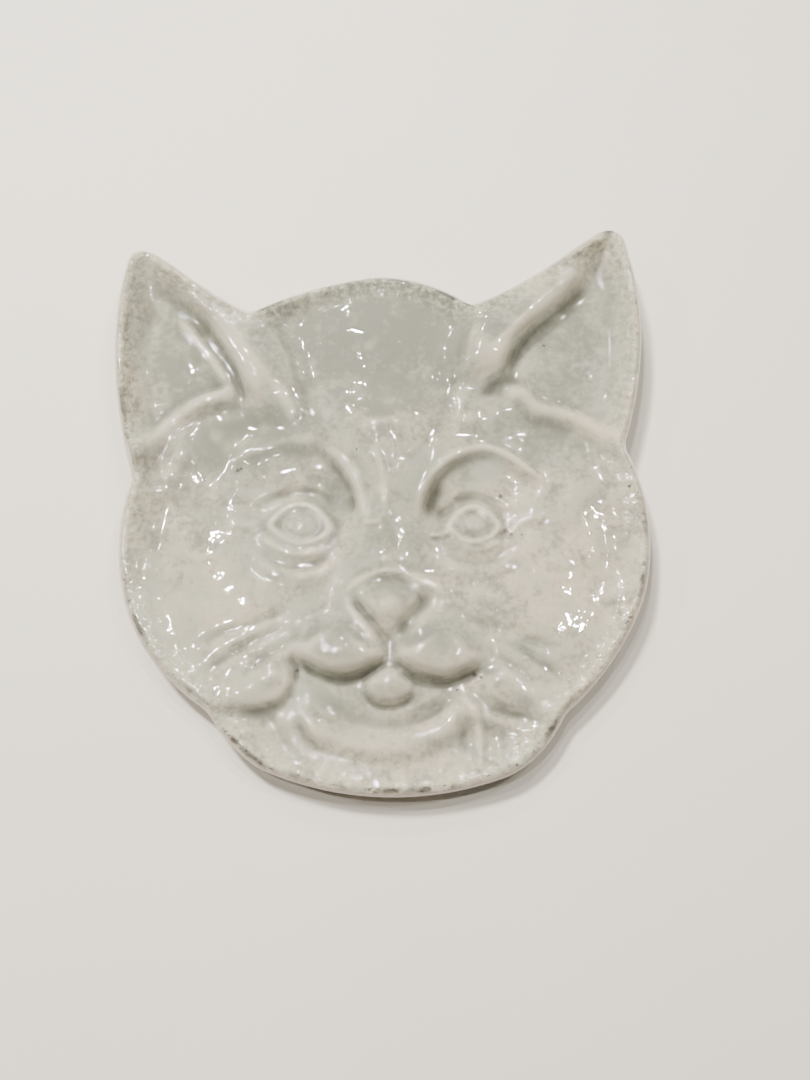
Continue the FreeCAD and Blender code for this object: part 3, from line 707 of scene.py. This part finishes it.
@dataclass
class WallCoat:
    """The glaze round the outside of the wall, down to just above the foot."""

    wall: Wall
    thickness: float = 0.55
    bare_foot: float = 1.3
    unevenness: float = 0.35
    rows: int = 12

    def build(self, material: bpy.types.Material) -> bpy.types.Object:
        """Make the coat and dress it."""
        bm = bmesh.new()
        low = bm.verts.layers.float.new("low")
        bmesh.ops.create_circle(bm, cap_ends=False, segments=self.wall.segments, radius=1.0)
        verts, edges = list(bm.verts), list(bm.edges)
        angle = np.array([math.atan2(vert.co.y, vert.co.x) for vert in verts])
        edge = self.bare_foot + 0.6 * (wander(np.cos(angle), np.sin(angle), 0.16, 5.0)
                                       + 0.6 * wander(np.cos(angle), np.sin(angle), 0.05, 9.0))
        edge = np.maximum(edge, 0.3)
        top = self.wall.crest(angle) - self.wall.rim.lip_drop
        section = [(share, 0.0) for share in np.linspace(1.0, 0.06, self.rows)]
        section += [(0.02, 0.04), (0.0, 0.22), (0.015, 0.42)]
        section += [(share, self.thickness) for share in (0.08, 0.5, 0.96)]
        first = list(edges)
        for number, (share, inset) in enumerate(section):
            if number:
                verts, edges = self.follow(bm, verts, edges)
            level = edge + (top - edge) * share
            around = 70.0 * np.cos(angle), 70.0 * np.sin(angle)
            lumps = 0.5 + 0.5 * wander(around[0] + level, around[1] - level, 7.0, 2.0)
            bare = self.unevenness * lumps * math.sin(math.pi * share) * (inset < 0.3)
            x, y = self.wall.ring(level, inset + bare, angle)
            set_ring(verts, x, y, level)
            for vert in verts:
                vert[low] = 1.0 - share
        bmesh.ops.bridge_loops(bm, edges=first + edges)
        return finish_object(bm, "wall_coat", "wall_glaze", material)

    @staticmethod
    def follow(bm: bmesh.types.BMesh, verts: list, edges: list) -> tuple[list, list]:
        """Extrude the last ring, keeping the order of its vertices."""
        for vert in verts:
            vert.tag = True
        old = {vert: number for number, vert in enumerate(verts)}
        new_verts, new_edges = next_ring(bm, edges)
        placed = {}
        for vert in new_verts:
            below = next(edge.other_vert(vert) for edge in vert.link_edges if edge.other_vert(vert) in old)
            placed[old[below]] = vert
        return [placed[number] for number in range(len(verts))], new_edges


@dataclass
class ClaySlab:
    """The pressed clay under the glaze, with its bare foot."""

    wall: Wall
    pressing: Pressing
    cells: int = 110
    coat: float = 0.6
    foot_round: float = 0.7

    def build(self, material: bpy.types.Material) -> bpy.types.Object:
        """Make the slab and dress it."""
        bm = bmesh.new()
        bmesh.ops.create_grid(bm, x_segments=self.cells, y_segments=self.cells, size=1.0)
        square = np.array([vert.co[:2] for vert in bm.verts])
        radius, angle = disc_from_square(square[:, 0], square[:, 1])
        reach = radius * (self.wall.rim.radius(angle) - self.coat - 0.1)
        x, y = reach * np.cos(angle), reach * np.sin(angle)
        z = self.pressing.height(x, y, *self.pressing.rim.nearest(x, y))
        set_ring(list(bm.verts), x, y, z - self.coat - 0.35)
        edges = [edge for edge in bm.edges if edge.is_boundary]
        verts = list({vert for edge in edges for vert in edge.verts})
        angle = np.array([math.atan2(vert.co.y, vert.co.x) for vert in verts])
        top = self.wall.crest(angle) - self.wall.rim.lip_drop - self.coat
        turn = self.foot_round
        section = [(top, 0.0)] + [(1.0 + (top - 1.0) * share, 0.0) for share in (0.75, 0.5, 0.25)]
        section += [(turn, 0.0), (0.35 * turn, 0.12 * turn), (0.08 * turn, 0.45 * turn), (0.0, turn)]
        for level, inset in section:
            verts, edges = WallCoat.follow(bm, verts, edges)
            x, y = self.wall.ring(level, self.coat + inset, angle)
            set_ring(verts, x, y, level)
        for share in (0.97, 0.9, 0.75, 0.55, 0.35, 0.15):
            verts, edges = WallCoat.follow(bm, verts, edges)
            set_ring(verts, x * share, y * share, 0.0)
        bmesh.ops.contextual_create(bm, geom=edges)
        return finish_object(bm, "clay_slab", "clay_body", material)


# ---------------------------------------------------------------------------------------------
# Finishes
# ---------------------------------------------------------------------------------------------
@dataclass(frozen=True)
class Value:
    """A number that varies over a surface: a socket that takes part in arithmetic."""

    tree: "Finish"
    socket: bpy.types.NodeSocket

    def math(self, operation: str, *others: "Value | float", swap: bool = False) -> "Value":
        """Add a Math node on this value and others."""
        values = list(others) + [self] if swap else [self] + list(others)
        return self.tree.add("ShaderNodeMath", {"operation": operation}, dict(enumerate(values)))

    def __add__(self, other: "Value | float") -> "Value":
        """Return the sum."""
        return self.math("ADD", other)

    def __radd__(self, other: float) -> "Value":
        """Return the sum."""
        return self.math("ADD", other)

    def __sub__(self, other: "Value | float") -> "Value":
        """Return the difference."""
        return self.math("SUBTRACT", other)

    def __rsub__(self, other: float) -> "Value":
        """Return the difference."""
        return self.math("SUBTRACT", other, swap=True)

    def __mul__(self, other: "Value | float") -> "Value":
        """Return the product."""
        return self.math("MULTIPLY", other)

    def __rmul__(self, other: float) -> "Value":
        """Return the product."""
        return self.math("MULTIPLY", other)

    def step(self, low: float, high: float) -> "Value":
        """Return 0 below the first number, 1 above the second and a smooth step between."""
        settings = {"interpolation_type": "SMOOTHSTEP"}
        return self.tree.add("ShaderNodeMapRange", settings, {"Value": self, "From Min": low,
                                                              "From Max": high})

    def most(self, other: "Value | float") -> "Value":
        """Return the larger."""
        return self.math("MAXIMUM", other)


Colour = tuple[float, float, float]


class Lump(Enum):
    """The kinds of unevenness that a finish is made of."""

    SOFT = "ShaderNodeTexNoise"
    CELL = "ShaderNodeTexVoronoi"


class Finish:
    """A procedural material, built node by node."""

    def __init__(self, name: str) -> None:
        """Start an empty material with a shader and an output."""
        self.material = bpy.data.materials.new(name)
        self.material.use_nodes = True
        self.nodes = self.material.node_tree.nodes
        self.links = self.material.node_tree.links
        self.nodes.clear()
        self.shader = self.nodes.new("ShaderNodeBsdfPrincipled")
        output = self.nodes.new("ShaderNodeOutputMaterial")
        self.links.new(self.shader.outputs["BSDF"], output.inputs["Surface"])
        self.place = self.add("ShaderNodeTexCoord", {}, {}, "Object")

    def add(self, kind: str, settings: dict, inputs: dict, output: str | int = 0) -> Value:
        """Add a node.

        Args:
            kind: The node's type.
            settings: Its own settings, set first.
            inputs: A number, colour or Value for each input socket, by name or number.
            output: The output socket that is wanted.

        Returns:
            The wanted output.
        """
        node = self.nodes.new(kind)
        for key, value in settings.items():
            setattr(node, key, value)
        for key, value in inputs.items():
            if isinstance(value, Value):
                self.links.new(value.socket, node.inputs[key])
            else:
                node.inputs[key].default_value = value
        return Value(self, node.outputs[output])

    def lumps(self, kind: Lump, size: float, detail: float = 3.0, rough: float = 0.55,
              twist: float = 0.0) -> Value:
        """Return unevenness from 0 to 1 whose lumps are a size in millimetres."""
        scale = 1.0 / (size * MM)
        if kind is Lump.CELL:
            return self.add(kind.value, {"feature": "F1"}, {"Vector": self.place, "Scale": scale},
                            "Distance")
        return self.add(kind.value, {}, {"Vector": self.place, "Scale": scale, "Detail": detail,
                                         "Roughness": rough, "Distortion": twist}, "Fac")

    def layer(self, name: str) -> Value:
        """Return one of the piece's own attributes."""
        return self.add("ShaderNodeAttribute", {"attribute_name": name}, {}, "Fac")

    def blend(self, share: Value | float, low: "Value | Colour", high: "Value | Colour") -> Value:
        """Mix two colours."""
        node = self.nodes.new("ShaderNodeMix")
        node.data_type = "RGBA"
        for key, value in (("Factor_Float", share), ("A_Color", low), ("B_Color", high)):
            socket = next(item for item in node.inputs if item.identifier == key)
            if isinstance(value, Value):
                self.links.new(value.socket, socket)
            elif isinstance(value, tuple):
                socket.default_value = (*value, 1.0)
            else:
                socket.default_value = value
        return Value(self, next(item for item in node.outputs if item.identifier == "Result_Color"))

    def fixed(self, values: dict[str, float]) -> None:
        """Set numbers that are the same all over the surface."""
        for key, value in values.items():
            self.shader.inputs[key].default_value = value

    def feed(self, socket: str, value: Value) -> None:
        """Link a value that changes over the surface."""
        self.links.new(value.socket, self.shader.inputs[socket])

    def relief(self, height: Value, depth: float) -> None:
        """Feed a bump of a depth in millimetres to the normal."""
        self.feed("Normal", self.add("ShaderNodeBump", {}, {"Height": height, "Strength": 1.0,
                                                            "Distance": depth * MM}, "Normal"))


@dataclass(frozen=True)
class MilkyGlaze:
    """Thick glossy glaze: greenish grey in the hollows, pinkish beige over ridges, dark at breaks, with
    painted shade in the creases and over some patches, and a painted warm bounce at the outer edge.
    """

    cool: Colour = (0.345, 0.352, 0.272)
    warm: Colour = (0.465, 0.406, 0.308)
    cream: Colour = (0.560, 0.532, 0.385)
    thin: Colour = (0.540, 0.480, 0.370)
    shade: Colour = (0.180, 0.184, 0.147)
    # Painted shade in the creases, and the dark of clay showing through a worn crest.
    crease_shade_and_wear: Colour = (0.118, 0.116, 0.092)
    clay: Colour = (0.055, 0.045, 0.040)
    # Painted warm bounce light on the rim's outer edge, and a pinkish tone low on the wall.
    warm_bounce_and_blush: Colour = (0.50, 0.37, 0.31)

    def pinholes(self, finish: Finish, ragged: Value) -> Value:
        """Return 1 in each pinhole where the glaze crawled off the clay, and 0 elsewhere."""
        flat = finish.add("ShaderNodeVectorMath", {"operation": "MULTIPLY"},
                          {0: finish.place, 1: (1.0, 1.0, 0.0)}, "Vector")
        found = None
        for across, along, radius in PINHOLES:
            far = finish.add("ShaderNodeVectorMath", {"operation": "DISTANCE"},
                             {0: flat, 1: (across * MM, along * MM, 0.0)}, "Value")
            reach = far * (1.0 / (radius * MM)) + (ragged - 0.5) * 1.6
            hole = 1.0 - reach.step(0.75, 1.0)
            found = hole if found is None else found.most(hole)
        return found

    def make(self, on_wall: bool = False) -> bpy.types.Material:
        """Build the material for the face or the wall."""
        finish = Finish("wall_glaze_finish" if on_wall else "face_glaze_finish")
        clouds = finish.lumps(Lump.SOFT, 22.0, 2.0, 0.5, 0.4)
        veil = finish.lumps(Lump.SOFT, 6.0, 4.0, 0.6)
        fleck = finish.lumps(Lump.SOFT, 1.1, 3.0, 0.6)
        pits = finish.lumps(Lump.CELL, 3.2)
        froth = finish.lumps(Lump.SOFT, 1.8, 4.0, 0.65)
        if on_wall:
            low = finish.layer("low")
            colour = finish.blend(clouds.step(0.4, 0.6), self.cool, self.warm)
            colour = finish.blend(veil.step(0.40, 0.62) * 0.6, colour, self.shade)
            # Warmer pinkish tone towards the foot of the wall.
            colour = finish.blend(low.step(0.35, 1.0) * veil.step(0.3, 0.6) * 0.8, colour, self.warm_bounce_and_blush)
            rough = finish.lumps(Lump.SOFT, 4.0).step(0.3, 0.8) * 0.12 + 0.08
            bump = finish.lumps(Lump.SOFT, 1.9, 1.0) * 0.8 + finish.lumps(Lump.SOFT, 5.0, 1.0) * 1.4
            specks = (fleck + low.step(0.7, 1.0) * 0.08).step(0.66, 0.72)
        else:
            swell, edge, pool_and_shade = (finish.layer(name) for name in ("swell", "edge", "pool_and_shade"))
            inside = edge.step(2.5, 11.0)
            groove = (0.0 - swell).step(0.0, 0.50) * inside
            ridge = swell.step(0.0, 0.40) * inside
            smoke = finish.lumps(Lump.SOFT, 7.0, 2.0, 0.5, 0.6)
            dust = finish.lumps(Lump.SOFT, 1.5, 2.0, 0.6)
            mottle = (smoke - 0.5) * 2.6 + (dust - 0.5) * 2.2
            zone = (clouds - 0.5) * 2.6 + (veil - 0.5) * 1.6 + mottle * 0.5 - pool_and_shade * 0.32 + 0.06
            colour = finish.blend(zone.step(-0.45, 0.45), self.cool, self.warm)
            # Darker random mottling, plus painted shade over the positive patches of the patch table.
            stain_and_shade = mottle + (clouds - 0.5) * 1.2 + pool_and_shade * 0.60 + 0.04
            colour = finish.blend(stain_and_shade.step(-0.60, 1.10) * 0.90, colour, self.shade)
            # Painted shade darkening the creases and grooves.
            colour = finish.blend(groove * (smoke.step(0.3, 0.6) * 0.35 + 0.70), colour, self.crease_shade_and_wear)
            colour = finish.blend(ridge * 0.7, colour, self.thin)
            milk = (veil - 0.5) * 1.8 - (dust - 0.5) * 0.8 + (clouds - 0.5)
            colour = finish.blend(milk.step(0.05, 0.95) * 0.7, colour, self.cream)
            near = 1.0 - edge.step(1.6, 9.0)
            colour = finish.blend(near * froth.step(0.42, 0.62) * 0.55, colour, self.cream)
            # Painted warm bounce light along the rim's outermost edge.
            outermost = 1.0 - edge.step(0.2, 1.5)
            colour = finish.blend(outermost * (veil.step(0.3, 0.7) * 0.6 + 0.4), colour, self.warm_bounce_and_blush)
            crest = edge.step(0.4, 1.2) * (1.0 - edge.step(1.6, 2.8))
            gather = finish.lumps(Lump.SOFT, 7.0, 2.0).step(0.44, 0.60)
            wear = finish.layer("wear")
            worn = crest * (smoke + wear * 0.16).step(0.46, 0.64) * (gather * 0.4 + wear * 0.8)
            colour = finish.blend(worn.step(0.0, 1.0), colour, self.crease_shade_and_wear)
            specks = (fleck + crest * 0.07 + gather * 0.03 + wear * crest * 0.09).step(0.685, 0.75)
            specks = specks * (crest * 0.6 + 0.25)
            specks = specks.most((1.0 - pits.step(0.03, 0.06)) * veil.step(0.56, 0.60) * 0.5)
            specks = specks.most(self.pinholes(finish, fleck))
            rough = finish.lumps(Lump.SOFT, 5.0).step(0.3, 0.8) * 0.04 + 0.025
            ripple = finish.lumps(Lump.SOFT, 5.0, 1.0, 0.4)
            bubble = finish.lumps(Lump.SOFT, 1.7, 1.0, 0.4)
            bump = ripple * 1.1 + bubble * (near * 1.5 + 0.2)
        colour = finish.blend(specks * 0.85, colour, self.clay)
        finish.feed("Base Color", colour)
        finish.feed("Roughness", rough + specks * 0.3)
        finish.relief(bump - specks * 0.5, 0.28)
        finish.fixed({"Coat Weight": 1.0, "Coat Roughness": 0.02})
        return finish.material


@dataclass(frozen=True)
class FiredClay:
    """Dark bare clay, matt and slightly gritty."""

    dark: Colour = (0.10, 0.075, 0.06)
    light: Colour = (0.24, 0.175, 0.135)

    def make(self) -> bpy.types.Material:
        """Build the material."""
        finish = Finish("fired_clay_finish")
        grain = finish.lumps(Lump.SOFT, 0.9, 5.0, 0.7)
        cloud = finish.lumps(Lump.SOFT, 14.0, 3.0, 0.5)
        colour = finish.blend((grain * 0.5 + cloud * 0.5).step(0.35, 0.65), self.dark, self.light)
        grit = finish.lumps(Lump.CELL, 1.4)
        finish.feed("Base Color", finish.blend(1.0 - grit.step(0.08, 0.2), colour, (0.38, 0.31, 0.25)))
        finish.feed("Roughness", grain * 0.25 + 0.68)
        finish.relief(grain + grit * 0.5, 0.18)
        return finish.material


@dataclass(frozen=True)
class PaleFloor:
    """A plain pale studio surface."""

    colour: Colour = (0.74, 0.70, 0.62)

    def make(self) -> bpy.types.Material:
        """Build the material."""
        finish = Finish("studio_floor")
        soft = finish.lumps(Lump.SOFT, 60.0, 2.0, 0.5)
        darker = tuple(part * 0.96 for part in self.colour)
        finish.feed("Base Color", finish.blend(soft, self.colour, darker))
        finish.fixed({"Roughness": 0.75})
        return finish.material


# ---------------------------------------------------------------------------------------------
# Studio
# ---------------------------------------------------------------------------------------------
@dataclass(frozen=True)
class Lamp:
    """One soft lamp, aimed at the dish."""

    name: str
    place: tuple[float, float, float]      # metres
    across: float
    power: float
    colour: Colour = (1.0, 0.96, 0.90)
    glints: bool = True

    def hang(self) -> None:
        """Make the lamp."""
        light = bpy.data.lights.new(self.name, "AREA")
        light.shape = "DISK"
        light.size = self.across
        light.energy = self.power
        light.color = self.colour
        lamp = bpy.data.objects.new(self.name, light)
        bpy.context.scene.collection.objects.link(lamp)
        lamp.location = self.place
        lamp.rotation_euler = Vector(self.place).to_track_quat("Z", "Y").to_euler()
        lamp.visible_glossy = self.glints


@dataclass(frozen=True)
class Studio:
    """A pale floor, soft light and the camera above the chin."""

    eye: tuple[float, float, float] = (0.00737, -0.08033, 0.22726)
    tilt: float = 17.0                     # degrees away from straight down
    lens: float = 29.0
    floor_side: float = 3.0
    sky: float = 0.13
    lamps: tuple[Lamp, ...] = (
        Lamp("key_lamp", (-0.28, 0.36, 0.72), 0.11, 13.5, glints=False),
        Lamp("left_row_1", (-0.14, 0.02, 0.66), 0.012, 1.3),
        Lamp("left_row_2", (-0.12, 0.20, 0.66), 0.012, 1.3),
        Lamp("left_row_3", (-0.14, 0.38, 0.62), 0.012, 1.3),
        Lamp("left_row_4", (-0.16, 0.58, 0.56), 0.012, 1.3),
        Lamp("right_row_1", (0.22, 0.10, 0.64), 0.012, 1.1),
        Lamp("right_row_2", (0.28, 0.24, 0.62), 0.012, 1.1),
        Lamp("right_row_3", (0.30, 0.56, 0.54), 0.012, 1.0),
        Lamp("side_spot", (-0.50, 0.10, 0.46), 0.012, 0.9),
    )

    def build(self) -> None:
        """Make the floor, the light and the camera."""
        bm = bmesh.new()
        bmesh.ops.create_grid(bm, x_segments=8, y_segments=8, size=self.floor_side / 2)
        mesh = bpy.data.meshes.new("studio_floor")
        bm.to_mesh(mesh)
        bm.free()
        mesh.materials.append(PaleFloor().make())
        floor = bpy.data.objects.new("studio_floor", mesh)
        bpy.context.scene.collection.objects.link(floor)
        for lamp in self.lamps:
            lamp.hang()
        world = bpy.data.worlds.new("soft_sky")
        world.use_nodes = True
        background = world.node_tree.nodes["Background"]
        background.inputs["Color"].default_value = (1.0, 0.985, 0.96, 1.0)
        background.inputs["Strength"].default_value = self.sky
        bpy.context.scene.world = world
        data = bpy.data.cameras.new("camera")
        data.sensor_width = 36.0
        data.lens = self.lens
        data.clip_start = 0.01
        camera = bpy.data.objects.new("camera", data)
        bpy.context.scene.collection.objects.link(camera)
        camera.location = self.eye
        camera.rotation_euler = (math.radians(self.tilt), 0.0, 0.0)
        bpy.context.scene.camera = camera


def main() -> None:
    """Build the dish on its frame, then the studio."""
    logging.basicConfig(level=logging.INFO, format="%(message)s")
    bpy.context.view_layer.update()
    rim = Rim()
    pressing = Pressing(rim)
    wall = Wall(rim)
    glaze = MilkyGlaze()
    pieces = [
        ClaySlab(wall, pressing).build(FiredClay().make()),
        FaceCoat(pressing).build(glaze.make()),
        WallCoat(wall).build(glaze.make(on_wall=True)),
    ]
    for piece in pieces:
        LOG.info("%s: %d faces", piece.name, len(piece.data.polygons))
    Studio().build()


if __name__ == "__main__":
    main()
